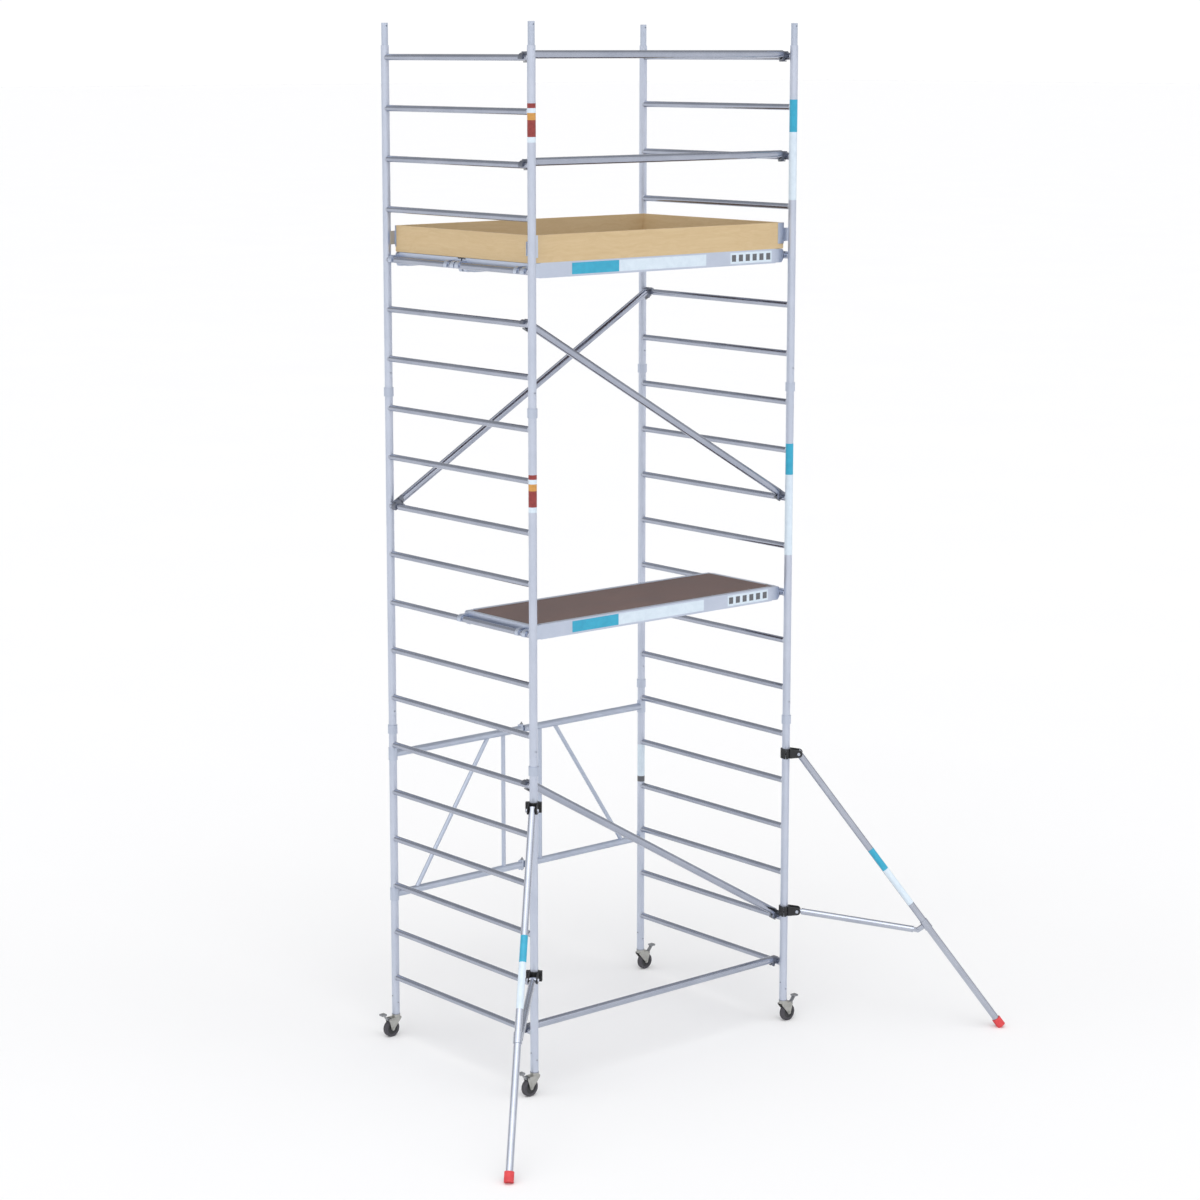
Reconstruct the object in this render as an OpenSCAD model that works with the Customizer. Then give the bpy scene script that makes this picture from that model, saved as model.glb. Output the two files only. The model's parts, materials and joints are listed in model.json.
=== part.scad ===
// Mobile aluminium tower scaffold on four castors, with two stabilisers.
// X runs along the bay, Y across it (front is -Y), Z is up and the floor is Z = 0.
// The origin lies under the middle of the footprint, stabiliser feet included.

/* [Tower] */
// Distance between the two end frames, upright centre to upright centre
bay_len = 1910; // [1600:10:2500]
// Distance between the two uprights of an end frame, centre to centre
frame_w = 1290; // [1280:5:1400]
// Distance between rungs
rung_pitch = 280; // [250:5:300]
// Height of the lowest rung over the floor
first_rung_z = 357; // [345:1:450]
// Number of rungs in the folding base frame
base_rungs = 6; // [6:1:7]
// Number of rungs in each extension frame
frame_rungs = 7; // [7:1:8]

/* [Tubes] */
// Outer diameter of an upright
upright_d = 45; // [40:0.5:50]
// Wall of an upright
upright_wall = 3.5; // [2:0.5:4]
// Outer diameter of a rung
rung_d = 35; // [28:0.5:38]
// Wall of a rung
rung_wall = 2; // [1.5:0.5:3]
// Outer diameter of the guardrails and braces
brace_d = 44; // [38:1:46]
// Wall of the guardrails and braces
brace_wall = 2; // [1.5:0.5:3]

/* [Frame joints] */
// Length of upright above its top rung
tube_above_rung = 65; // [55:1:80]
// Height that a spigot stands out of its upright
spigot_h = 123; // [115:1:150]
// Gap between a standing spigot and the bore of the upright over it
spigot_play = 0.5; // [0.3:0.1:2]
// Wall of a spigot
spigot_wall = 3; // [2:0.5:5]
// Depth of a spigot inside the upright below it
spigot_insert = 120; // [60:5:180]
// Thickness of the collar around a joint
joint_collar_wall = 5; // [3:0.5:6]
// Height of the collar around a joint
joint_collar_h = 50; // [30:5:60]
// Diameter of the lock pins and rivets through a joint
joint_pin_d = 8; // [6:1:10]

/* [Braces] */
// Distance of a brace's middle from the upright's surface
claw_gap = 41.5; // [39.5:0.5:67]
// Width of a claw casting along the rung
claw_w = 34; // [30:1:36]
// Thickness of the claw's arch over the rung
claw_wall = 8; // [6:1:10]
// Height of a brace's axis over the rungs that it hooks on
brace_lift = 16; // [14:1:20]
// Length of the claw's plug inside the brace tube
claw_plug = 40; // [25:5:60]

/* [Platforms] */
// Rung that carries the lower platform, counted from 0
lower_deck_rung = 8; // [8:1:9]
// Rung that carries the upper platforms, counted from 0
upper_deck_rung = 15; // [15:1:15]
// Width of one platform
platform_w = 600; // [560:5:600]
// Gap between the two upper platforms
platform_gap = 10; // [4:1:20]
// Height of a side beam
beam_h = 82; // [70:1:100]
// Width of a side beam
beam_w = 30; // [25:1:40]
// Wall of the platform's beams
beam_wall = 2.5; // [2:0.5:4]
// Height of the beam's top over the rung's axis
beam_over_rung = 43; // [38:1:50]
// Distance from the rung's axis to the platform's end beam
end_setback = 30; // [28:1:40]
// Thickness of the plywood deck
deck_t = 12; // [9:1:15]
// Length of the cast shoe that ends a side beam
shoe_len = 60; // [40:5:90]
// Distance of the middle hook from the platform's front side
hook_in = 75; // [55:5:120]
// Width of the middle hook
hook_w = 26; // [20:1:32]

/* [Hatch] */
// Length of the hatch along the platform
hatch_len = 600; // [500:10:640]
// Width of the deck left beside the hatch
hatch_side = 69; // [40:1:110]
// Distance of the hatch's left edge from the platform's middle
hatch_left = 760; // [700:10:780]

/* [Toe boards] */
// Height of the toe boards
toe_h = 147; // [130:1:160]
// Thickness of the toe boards
toe_t = 20; // [15:1:25]

/* [Folding gates] */
// Outer diameter of the gate's rails
gate_rail_d = 42; // [25:1:44]
// Outer diameter of the gate's vertical
gate_post_d = 25; // [20:1:28]
// Outer diameter of the gate's diagonal
gate_diag_d = 25; // [18:1:28]
// Wall of the gate's tubes
gate_wall = 2; // [1.5:0.5:3]
// Gap between a gate's sleeve and the rung over it
gate_gap = 1.5; // [1:0.5:15]
// Wall of the sleeves that turn on the uprights
gate_sleeve_wall = 3.5; // [3:0.5:5]
// Height of the sleeves that turn on the uprights
gate_sleeve_h = 74; // [50:2:74]
// Distance of the gate's vertical from the middle hinge
gate_post_x = 141; // [100:1:200]

/* [Castors] */
// Diameter of a castor wheel
wheel_d = 100; // [90:1:105]
// Width of a castor wheel
wheel_w = 30; // [24:1:34]
// Distance of the wheel's axle behind the swivel axis
trail = 35; // [30:1:40]
// Height of the upright's lower end over the top of the wheel
castor_rise = 35; // [33:1:60]

/* [Stabilisers] */
// Distance of the upper clamp's middle below the top of the base frame
upper_clamp_drop = 178; // [165:1:195]
// Gap between the lower clamp and the second rung
lower_clamp_gap = 3.5; // [3:0.5:60]
// Distance of a clamp's pivot bolt from the upright's surface
clamp_pivot_gap = 53.5; // [48:0.5:68]
// Horizontal distance of the foot from the upright's axis
foot_reach = 1275; // [1000:5:1500]
// Height of the strut's lower end over the floor
foot_z = 36; // [30:1:45]
// Outer diameter of the long strut
strut_d = 40; // [34:1:42]
// Outer diameter of the bracing arm
arm_d = 38; // [30:1:40]
// Wall of the stabiliser's tubes
strut_wall = 2.5; // [2:0.5:4]
// Distance of the arm's lug from the top of the strut, along the strut
arm_seat = 1276; // [1100:2:1400]
// Distance of the arm's bolt from the strut's axis
arm_drop = 60; // [50:1:70]
// Length of the rubber foot along the strut
boot_len = 55; // [50:1:90]
// Wall of the rubber foot
boot_wall = 6; // [4:1:9]
// Angle between a stabiliser and the end frame
foot_angle = 45; // [40:1:50]

/* [Clearances] */
// Gap between a hook or claw and the rung that it sits on
seat_gap = 0.3; // [0.2:0.1:0.6]
// Radial clearance of a turning shaft in its hole
run_gap = 0.06; // [0.02:0.01:0.1]
// Gap between parts that pass each other
side_gap = 0.5; // [0.3:0.1:1]
// Gap left at a weld, so that each welded tube stays a solid of its own
weld_gap = 0.2; // [0.1:0.05:0.3]

/* [Hidden] */
$fn = 48;
cut = 1;
rung_count = base_rungs + 2 * frame_rungs;
half_bay = bay_len / 2;
half_w = frame_w / 2;
up_r = upright_d / 2;
rung_r = rung_d / 2;
brace_r = brace_d / 2;
upright_id = upright_d - 2 * upright_wall;
insert_d = upright_id - 2 * weld_gap;
spigot_d = upright_id - 2 * spigot_play;
joint_collar_d = upright_d + 2 * joint_collar_wall;
joint_hole_d = joint_pin_d + 2 * run_gap;

// Heights of the frame joints
joint_1_z = first_rung_z + (base_rungs - 1) * rung_pitch + tube_above_rung;
joint_2_z = joint_1_z + frame_rungs * rung_pitch;
top_z = joint_2_z + frame_rungs * rung_pitch;
rivet_below = 22;
lock_above = 106;
spare_hole_above = 134;

// Brace places
claw_y = half_w - up_r - claw_gap;
diag_rungs = 4;
front_low_rung = base_rungs + 4;
diag_rise = diag_rungs * rung_pitch;
diag_len = sqrt(bay_len * bay_len + diag_rise * diag_rise);
diag_angle = atan2(diag_rise, bay_len);
base_low_rung = base_rungs - 1 - diag_rungs;
knee_rail_rung = upper_deck_rung + 2;
guardrail_rung = upper_deck_rung + 4;

// Claw casting, with the rung's axis at the origin and the tube towards +X
claw_neck = 40;
claw_leg = 8;
latch_w = 12;
latch_x = 32;
latch_z = -15;
latch_pin_d = 6;
latch_bar_top = -(rung_r + 1.5);
latch_bar_t = 7;
latch_nose_x = 2;
latch_tail_x = 50;

// Platform, with the rung's axis plane at Z = 0
beam_half = half_bay - end_setback;
beam_low = beam_over_rung - beam_h;
beam_y = (platform_w - beam_w) / 2;
beam_mid_z = (beam_over_rung + beam_low) / 2;
clear_w = platform_w - 2 * beam_w - 2 * weld_gap;
end_beam_w = 30;
end_beam_h = 50;
end_beam_top = beam_over_rung - 2;
deck_y = platform_w / 2 - beam_w - side_gap;
deck_x = beam_half - end_beam_w - side_gap;
deck_top = beam_over_rung - 1;
deck_low = deck_top - deck_t;
cross_w = 40;
cross_h = 25;
hook_wall = 7.5;
hook_neck_h = 16;
hook_leg = 12;
plug_len = 30;
hook_y = platform_w / 2 - hook_in;
upper_y = (platform_w + platform_gap) / 2;
toe_y = upper_y + platform_w / 2;
wind_lock_x = beam_half - end_beam_w / 2;
wind_lock_y = -(platform_w / 2 - 90);
wind_lock_d = 10;
wind_foot_top = -(rung_r + 3.5);
wind_foot_h = 9;
wind_foot_len = 55;

// Hatch in the rear platform
hatch_mid = -hatch_left + hatch_len / 2;
hatch_gap = 3;
hatch_hinge_y = deck_y - 24;
hatch_edge_y = hatch_hinge_y - 6;
hatch_w = hatch_edge_y + deck_y - hatch_side;
knuckle_r = 4.5;
hatch_hinge_z = deck_top + knuckle_r + seat_gap;
leaf_t = 1.5;
knuckle_l = 50;
hinge_pin_d = 4;
hatch_t = deck_t - seat_gap;

// Gates
gate_drop = rung_r + gate_gap + gate_sleeve_h / 2;
gate_sleeve_d = upright_d + 2 * gate_sleeve_wall;
gate_top_z = first_rung_z + (base_rungs - 1) * rung_pitch - gate_drop;
gate_low_z = first_rung_z + 2 * rung_pitch - gate_drop;
gate_diag_in = 250;
gate_diag_out = half_bay - 155;
gate_knuckle_r = 11;
gate_knuckle_h = 60;
gate_pin_d = 10;

// Castor
castor_h = wheel_d + castor_rise;
axle_d = 10;
fork_gap = 2;
fork_t = 4;
fork_y = wheel_w / 2 + fork_gap;
kingpin_d = 14;
flange_t = 4;
crown_top = castor_h - flange_t - seat_gap;
crown_low = crown_top - 15;
plate_low = crown_low - 4;
pedal_x = trail + 17;
pedal_z = wheel_d + 8;
pedal_pin_d = 7;
pedal_tip_x = trail + 59;
pedal_tip_z = wheel_d + 42;
button_z = castor_h + 110;
stem_bolt_z = castor_h + 70;
stem_h = 130;

// Stabiliser, with the upright's axis at the origin and the foot towards +X
clamp_h = 56;
clamp_wall = 9;
clamp_lug = up_r + 22;
clamp_lug_t = 12;
clamp_gap = 3;
ear_t = 8;
pivot_d = 10;
pivot_hole_d = pivot_d + 2 * run_gap;
clamp_bolt_d = 8;
clamp_bolt_y = clamp_lug - 9;
clamp_pivot_r = up_r + clamp_pivot_gap;
upper_clamp_z = joint_1_z - upper_clamp_drop;
lower_clamp_z = first_rung_z + rung_pitch + rung_r + lower_clamp_gap + clamp_h / 2;
strut_dx = foot_reach - clamp_pivot_r;
strut_dz = upper_clamp_z - foot_z;
strut_len = sqrt(strut_dx * strut_dx + strut_dz * strut_dz);
strut_angle = atan2(strut_dz, strut_dx);
lug_x = clamp_pivot_r + arm_seat * cos(strut_angle) - arm_drop * sin(strut_angle);
lug_z = upper_clamp_z - arm_seat * sin(strut_angle) - arm_drop * cos(strut_angle);
arm_dx = lug_x - clamp_pivot_r;
arm_dz = lug_z - lower_clamp_z;
arm_len = sqrt(arm_dx * arm_dx + arm_dz * arm_dz);
arm_angle = atan2(arm_dz, arm_dx);
arm_end = 34;
boot_r = strut_d / 2 + boot_wall;
floor_bite = 6;
boot_past = (foot_z + floor_bite - boot_r * cos(strut_angle)) / sin(strut_angle);

// Middle of the footprint: the front boots against the rear joint collars
boot_side = boot_r * sqrt(pow(sin(strut_angle) * sin(foot_angle), 2) + pow(cos(foot_angle), 2));
foot_out = (foot_reach + boot_past * cos(strut_angle)) * sin(foot_angle) + boot_side;
tower_y = (foot_out - joint_collar_d / 2) / 2;

function rung_z(i) = first_rung_z + i * rung_pitch;

// Puts a part that is drawn round the tower's middle into the part's frame
module tower() {
    translate([0, tower_y, 0]) children();
}

// Extrudes an outline drawn in X and Z by a width along Y
module along_y(width) {
    rotate([90, 0, 0]) linear_extrude(width, center = true) children();
}

module tube(d, wall, h) {
    difference() {
        cylinder(d = d, h = h);
        translate([0, 0, -cut]) cylinder(d = d - 2 * wall, h = h + 2 * cut);
    }
}

// A round bar across the Y axis, centred
module cross_bar(d, len) {
    rotate([90, 0, 0]) cylinder(d = d, h = len, center = true);
}

// ---- End frames ----

module rung(z) {
    difference() {
        translate([0, -half_w, z]) rotate([-90, 0, 0]) tube(rung_d, rung_wall, frame_w);
        for (side = [-1, 1])
            translate([0, side * half_w, z - rung_d])
                cylinder(d = upright_d + 2 * weld_gap, h = 2 * rung_d);
    }
}

// One upright from low to high, drilled across at each height in the list
module upright(low, high, holes) {
    difference() {
        translate([0, 0, low]) tube(upright_d, upright_wall, high - low);
        for (z = holes)
            translate([0, 0, z]) cross_bar(joint_hole_d, 2 * upright_d);
        if (low == castor_h)
            translate([0, 0, button_z]) rotate([0, 0, 90]) cross_bar(joint_hole_d, 2 * upright_d);
    }
}

module end_frame(low, high, first, count, holes) {
    for (side = [-1, 1]) translate([0, side * half_w, 0]) upright(low, high, holes);
    for (i = [0 : count - 1]) rung(rung_z(first + i));
}

module base_frame() {
    end_frame(castor_h, joint_1_z, 0, base_rungs, [joint_1_z - rivet_below, stem_bolt_z]);
}

module extension_frame(low, high, first) {
    end_frame(low, high, first, frame_rungs,
        [low + lock_above, low + spare_hole_above, high - rivet_below]);
}

module base_frame_left() {
    color("#bcc1cf") tower() translate([-half_bay, 0, 0]) base_frame();
}

module base_frame_right() {
    color("#bcc1cf") tower() translate([half_bay, 0, 0]) base_frame();
}

module middle_frame_left() {
    color("#c0c5d3") tower() translate([-half_bay, 0, 0])
        extension_frame(joint_1_z, joint_2_z, base_rungs);
}

module middle_frame_right() {
    color("#c0c5d3") tower() translate([half_bay, 0, 0])
        extension_frame(joint_1_z, joint_2_z, base_rungs);
}

module top_frame_left() {
    color("#c5ccdc") tower() translate([-half_bay, 0, 0])
        extension_frame(joint_2_z, top_z, base_rungs + frame_rungs);
}

module top_frame_right() {
    color("#c5ccdc") tower() translate([half_bay, 0, 0])
        extension_frame(joint_2_z, top_z, base_rungs + frame_rungs);
}

// ---- Frame joints ----

// A spigot riveted into the upright below, with the joint line at Z = 0
module spigot() {
    difference() {
        union() {
            translate([0, 0, -spigot_insert]) cylinder(d = insert_d, h = spigot_insert);
            cylinder(d = spigot_d, h = spigot_h);
        }
        translate([0, 0, -spigot_insert - cut])
            cylinder(d = spigot_d - 2 * spigot_wall, h = spigot_insert + spigot_h + 2 * cut);
        for (z = [-rivet_below, lock_above])
            translate([0, 0, z]) cross_bar(joint_hole_d, upright_d);
    }
}

module at_uprights() {
    for (x = [-1, 1], y = [-1, 1]) translate([x * half_bay, y * half_w, 0]) children();
}

module joint_spigots() {
    pin_len = upright_d + 2;
    color("#b9bcc6") tower() at_uprights() {
        for (z = [joint_1_z, joint_2_z, top_z]) translate([0, 0, z]) {
            spigot();
            translate([0, 0, -rivet_below]) cross_bar(joint_pin_d, pin_len);
        }
        for (z = [joint_1_z, joint_2_z])
            translate([0, 0, z + lock_above]) cross_bar(joint_pin_d, pin_len);
    }
}

module joint_collars() {
    color("#b4b9c8") tower() at_uprights()
        for (z = [joint_1_z, joint_2_z]) translate([0, 0, z])
            tube(joint_collar_d, (joint_collar_d - upright_d) / 2 - weld_gap, joint_collar_h);
}

// ---- Folding gates at the rear of the base ----

// Outline of a gate's two rails and their weld gaps, for coping the tubes between them
module gate_rail_space() {
    for (z = [gate_low_z, gate_top_z]) translate([0, 0, z]) rotate([0, 90, 0])
        cylinder(d = gate_rail_d + 2 * weld_gap, h = half_bay);
}

// The gate tube between two points of the gate's plane, ends cut to the rails
module gate_strut(d, x0, z0, x1, z1) {
    len = sqrt(pow(x1 - x0, 2) + pow(z1 - z0, 2));
    difference() {
        translate([x0, 0, z0]) rotate([0, atan2(x1 - x0, z1 - z0), 0]) tube(d, gate_wall, len);
        gate_rail_space();
    }
}

module gate_rail(z) {
    start = gate_knuckle_r + 13 + weld_gap;
    difference() {
        translate([start, 0, z]) rotate([0, 90, 0])
            tube(gate_rail_d, gate_wall, half_bay - start);
        translate([half_bay, 0, z - gate_rail_d])
            cylinder(d = gate_sleeve_d + 2 * weld_gap, h = 2 * gate_rail_d);
    }
}

// Half of the middle hinge; the outer half carries two knuckles, the inner half one
module gate_knuckle(outer) {
    start = gate_knuckle_r + 13;
    third = gate_knuckle_h / 3;
    low = outer ? -gate_knuckle_h / 2 : -third / 2 + side_gap;
    high = outer ? gate_knuckle_h / 2 : third / 2 - side_gap;
    difference() {
        union() {
            translate([0, 0, low]) cylinder(r = gate_knuckle_r, h = high - low);
            translate([0, -gate_knuckle_r / 2, low]) cube([start, gate_knuckle_r, high - low]);
            translate([gate_knuckle_r + 2, 0, 0]) rotate([0, 90, 0])
                cylinder(d = gate_rail_d, h = 11);
        }
        translate([0, 0, -gate_knuckle_h])
            cylinder(d = gate_pin_d + 2 * run_gap, h = 2 * gate_knuckle_h);
        if (outer) translate([-gate_knuckle_r - cut, -gate_rail_d, -third / 2])
            cube([2 * gate_knuckle_r + 2 + cut, 2 * gate_rail_d, third]);
    }
}

// A gate drawn towards +X with its middle hinge on the Z axis
module gate(outer) {
    for (z = [gate_low_z, gate_top_z]) {
        gate_rail(z);
        translate([0, 0, z]) gate_knuckle(outer);
        translate([half_bay, 0, z - gate_sleeve_h / 2])
            tube(gate_sleeve_d, (gate_sleeve_d - upright_d) / 2 - run_gap, gate_sleeve_h);
    }
    gate_strut(gate_post_d, gate_post_x, gate_low_z, gate_post_x, gate_top_z);
    gate_strut(gate_diag_d, gate_diag_out, gate_low_z, gate_diag_in, gate_top_z);
}

module folding_gate_left() {
    color("#aeb4c2") tower() translate([0, half_w, 0]) mirror([1, 0, 0]) gate(true);
}

module folding_gate_right() {
    color("#aeb4c2") tower() translate([0, half_w, 0]) gate(false);
}

module gate_hinge_pins() {
    color("#8f929a") tower() translate([0, half_w, 0])
        for (z = [gate_low_z, gate_top_z]) translate([0, 0, z]) {
            translate([0, 0, -gate_knuckle_h / 2 - 6])
                cylinder(d = gate_pin_d, h = gate_knuckle_h + 6);
            translate([0, 0, gate_knuckle_h / 2]) cylinder(d = 18, h = 5);
            translate([0, 0, gate_knuckle_h / 2 + 4]) cylinder(d = 8, h = 10);
        }
}

// ---- Guardrails and braces ----

// Outline of the claw's arch over the rung and its neck
module claw_outline() {
    inner = rung_r + seat_gap;
    outer = inner + claw_wall;
    difference() {
        union() {
            circle(r = outer);
            translate([-outer, -claw_leg]) square([2 * outer, claw_leg]);
            translate([0, -4]) square([claw_neck - 6, brace_lift + brace_r - 2]);
        }
        circle(r = inner);
        translate([-inner, -2 * outer]) square([2 * inner, 2 * outer]);
        translate([-outer - cut, -2 * outer - claw_leg]) square([2 * outer + 2 * cut, 2 * outer]);
    }
}

// Outline of the cheeks that hold the latch's pin
module claw_cheek_outline() {
    translate([latch_x, latch_z]) circle(r = 8);
    translate([latch_x - 8, latch_z]) square([16, -latch_z]);
}

// The cast claw with its tube plug and latch pin
module claw() {
    cheek_t = (claw_w - latch_w) / 2 - 1;
    along_y(claw_w) claw_outline();
    for (side = [-1, 1]) translate([0, side * (claw_w - cheek_t) / 2, 0])
        along_y(cheek_t) claw_cheek_outline();
    translate([claw_neck - 6, 0, brace_lift]) rotate([0, 90, 0]) cylinder(d = brace_d, h = 6);
    translate([claw_neck - 6, 0, brace_lift]) rotate([0, 90, 0])
        cylinder(d = brace_d - 2 * brace_wall - 2 * weld_gap, h = claw_plug + 6);
    translate([latch_x, 0, latch_z]) cross_bar(latch_pin_d, claw_w);
}

// The sprung latch that closes the claw's mouth under the rung
module latch() {
    difference() {
        along_y(latch_w) {
            translate([latch_x, latch_z]) circle(r = 6.5);
            translate([latch_nose_x, latch_bar_top - latch_bar_t])
                square([latch_tail_x - latch_nose_x, latch_bar_t]);
            translate([latch_x - 6.5, latch_bar_top - 1]) square([13, latch_z - latch_bar_top + 1]);
        }
        translate([latch_x, 0, latch_z]) cross_bar(latch_pin_d + 2 * run_gap, 2 * latch_w);
    }
}

// Places children at both claws of a brace of the given span
module at_claw(span, right) {
    if (right) translate([span, 0, 0]) mirror([1, 0, 0]) children();
    else children();
}

// A brace from the left rung's axis to the right rung's axis
module brace(span) {
    start = claw_neck + weld_gap;
    translate([start, 0, brace_lift]) rotate([0, 90, 0])
        tube(brace_d, brace_wall, span - 2 * start);
    for (right = [false, true]) at_claw(span, right) claw();
}

// Puts a brace's left end on a rung of the left frame and tilts it; rear is 1 or -1
module place_brace(rung, rear, tilt) {
    color("#b3b8c6") tower() translate([-half_bay, rear * claw_y, rung_z(rung)])
        rotate([0, -tilt, 0]) children();
}

module guardrail_top() {
    place_brace(guardrail_rung, -1, 0) brace(bay_len);
}

module guardrail_knee() {
    place_brace(knee_rail_rung, -1, 0) brace(bay_len);
}

module front_diagonal_brace() {
    place_brace(front_low_rung + diag_rungs, -1, -diag_angle) brace(diag_len);
}

module rear_diagonal_brace() {
    place_brace(front_low_rung, 1, diag_angle) brace(diag_len);
}

module base_diagonal_brace() {
    place_brace(base_low_rung + diag_rungs, -1, -diag_angle) brace(diag_len);
}

module base_horizontal_brace() {
    place_brace(0, -1, 0) brace(bay_len);
}

module latch_guardrail(right) {
    place_brace(guardrail_rung, -1, 0) at_claw(bay_len, right) latch();
}

module latch_knee_rail(right) {
    place_brace(knee_rail_rung, -1, 0) at_claw(bay_len, right) latch();
}

module latch_front_brace(right) {
    place_brace(front_low_rung + diag_rungs, -1, -diag_angle) at_claw(diag_len, right) latch();
}

module latch_rear_brace(right) {
    place_brace(front_low_rung, 1, diag_angle) at_claw(diag_len, right) latch();
}

module latch_base_brace(right) {
    place_brace(base_low_rung + diag_rungs, -1, -diag_angle) at_claw(diag_len, right) latch();
}

// ---- Platforms ----

// Rectangular hollow section of size [x, y, z], open at both ends along the given axis
module box_tube(size, axis) {
    hollow = [for (i = [0 : 2]) i == axis ? size[i] + 2 * cut : size[i] - 2 * beam_wall];
    difference() {
        cube(size, center = true);
        cube(hollow, center = true);
    }
}

// Outline of a hook over the right frame's rung, with the rung's axis at the origin
module hook_outline() {
    inner = rung_r + seat_gap;
    outer = inner + hook_wall;
    difference() {
        union() {
            circle(r = outer);
            translate([-outer, -hook_leg]) square([2 * outer, hook_leg]);
            translate([weld_gap - end_setback, outer - hook_neck_h])
                square([end_setback - weld_gap, hook_neck_h]);
        }
        circle(r = inner);
        translate([-inner, -2 * outer]) square([2 * inner, 2 * outer]);
        translate([-outer - cut, -2 * outer - hook_leg]) square([2 * outer + 2 * cut, 2 * outer]);
    }
}

module end_beam(drilled) {
    difference() {
        translate([beam_half - end_beam_w / 2, 0, end_beam_top - end_beam_h / 2])
            box_tube([end_beam_w, clear_w, end_beam_h], 1);
        if (drilled) translate([wind_lock_x, wind_lock_y, -beam_h])
            cylinder(d = wind_lock_d + 2 * run_gap, h = 2 * beam_h);
    }
}

module cross_member(x) {
    translate([x, 0, deck_low - cross_h / 2]) box_tube([cross_w, clear_w, cross_h], 1);
}

// Side outline of the shoe that ends a side beam on the right, from the beam to the rung's hook
module shoe_outline() {
    hook_outline();
    polygon([
        [weld_gap - end_setback - shoe_len, beam_low + 3], [-end_setback - 12, beam_low + 3],
        [1 - end_setback, beam_low + 22], [1 - end_setback, beam_over_rung - 10],
        [-end_setback - 8, beam_over_rung - 2],
        [weld_gap - end_setback - shoe_len, beam_over_rung - 2]
    ]);
}

// A shoe with its plug inside the side beam, the rung's axis at the origin
module beam_shoe() {
    plug_w = beam_w - 2 * beam_wall - 2 * weld_gap;
    plug_h = beam_h - 2 * beam_wall - 2 * weld_gap;
    along_y(beam_w) shoe_outline();
    translate([-end_setback - shoe_len - plug_len, -plug_w / 2, beam_mid_z - plug_h / 2])
        cube([plug_len + cut, plug_w, plug_h]);
}

// The aluminium frame of a platform; cross_x lists the cross members
module platform_frame(cross_x) {
    for (side = [-1, 1]) translate([0, side * beam_y, 0]) {
        translate([0, 0, beam_mid_z]) box_tube([2 * (beam_half - shoe_len), beam_w, beam_h], 0);
        translate([half_bay, 0, 0]) beam_shoe();
        mirror([1, 0, 0]) translate([half_bay, 0, 0]) beam_shoe();
    }
    end_beam(true);
    mirror([1, 0, 0]) end_beam(false);
    for (x = cross_x) cross_member(x);
    for (side = [0, 1]) mirror([side, 0, 0]) translate([half_bay, -hook_y, 0])
        along_y(hook_w) hook_outline();
}

module plain_deck() {
    translate([-deck_x, -deck_y, deck_low]) cube([2 * deck_x, 2 * deck_y, deck_t]);
}

// A pin with a turned foot that holds the platform down on its rung
module wind_lock() {
    translate([wind_lock_x, wind_lock_y, 0]) {
        translate([0, 0, wind_foot_top - wind_foot_h])
            cylinder(d = wind_lock_d, h = end_beam_top + wind_foot_h - wind_foot_top + seat_gap);
        translate([0, 0, end_beam_top + seat_gap]) cylinder(d = 18, h = 1.2);
        translate([half_bay - wind_lock_x + 8 - wind_foot_len, -8, wind_foot_top - wind_foot_h])
            cube([wind_foot_len, 16, wind_foot_h]);
    }
}

module place_lower() {
    tower() translate([0, -upper_y, rung_z(lower_deck_rung)]) children();
}

module place_upper(rear) {
    tower() translate([0, rear * upper_y, rung_z(upper_deck_rung)]) children();
}

module lower_platform_frame() {
    color("#c2c8d6") place_lower() platform_frame([-460, 0, 460]);
}

module lower_platform_deck() {
    color("#6d5957") place_lower() plain_deck();
}

module front_platform_frame() {
    color("#c2c8d6") place_upper(-1) platform_frame([-460, 0, 460]);
}

module front_platform_deck() {
    color("#6d5957") place_upper(-1) plain_deck();
}

// Hinge knuckles along the hatch; own is 0 for the frame's knuckles and 1 for the hatch's
module hatch_knuckles(own) {
    for (i = [-2 : 2]) if (abs(i) % 2 == own)
        translate([hatch_mid + i * knuckle_l, hatch_hinge_y, hatch_hinge_z]) rotate([0, 90, 0])
            cylinder(r = knuckle_r, h = knuckle_l - 2 * seat_gap, center = true);
}

// The frame's hinge leaf, fixed on the deck behind the hatch
module hatch_hinge_leaf() {
    hatch_knuckles(0);
    for (i = [-1, 0, 1])
        translate([hatch_mid + i * 2 * knuckle_l - knuckle_l / 2 + seat_gap, hatch_hinge_y, deck_top])
            cube([knuckle_l - 2 * seat_gap, 20, leaf_t]);
    translate([hatch_mid, hatch_hinge_y, hatch_hinge_z]) rotate([0, 90, 0])
        cylinder(d = hinge_pin_d, h = 5 * knuckle_l - 2 * seat_gap, center = true);
}

module rear_platform_frame() {
    color("#c2c8d6") place_upper(1) {
        platform_frame([-hatch_left, -hatch_left + hatch_len, 460]);
        hatch_hinge_leaf();
    }
}

module rear_platform_deck() {
    color("#6d5957") place_upper(1) difference() {
        plain_deck();
        translate([-hatch_left - hatch_gap, hatch_edge_y - hatch_w - hatch_gap, deck_low - cut])
            cube([hatch_len + 2 * hatch_gap, hatch_hinge_y + side_gap - hatch_edge_y + hatch_w
                + hatch_gap, deck_t + 2 * cut]);
    }
}

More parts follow.
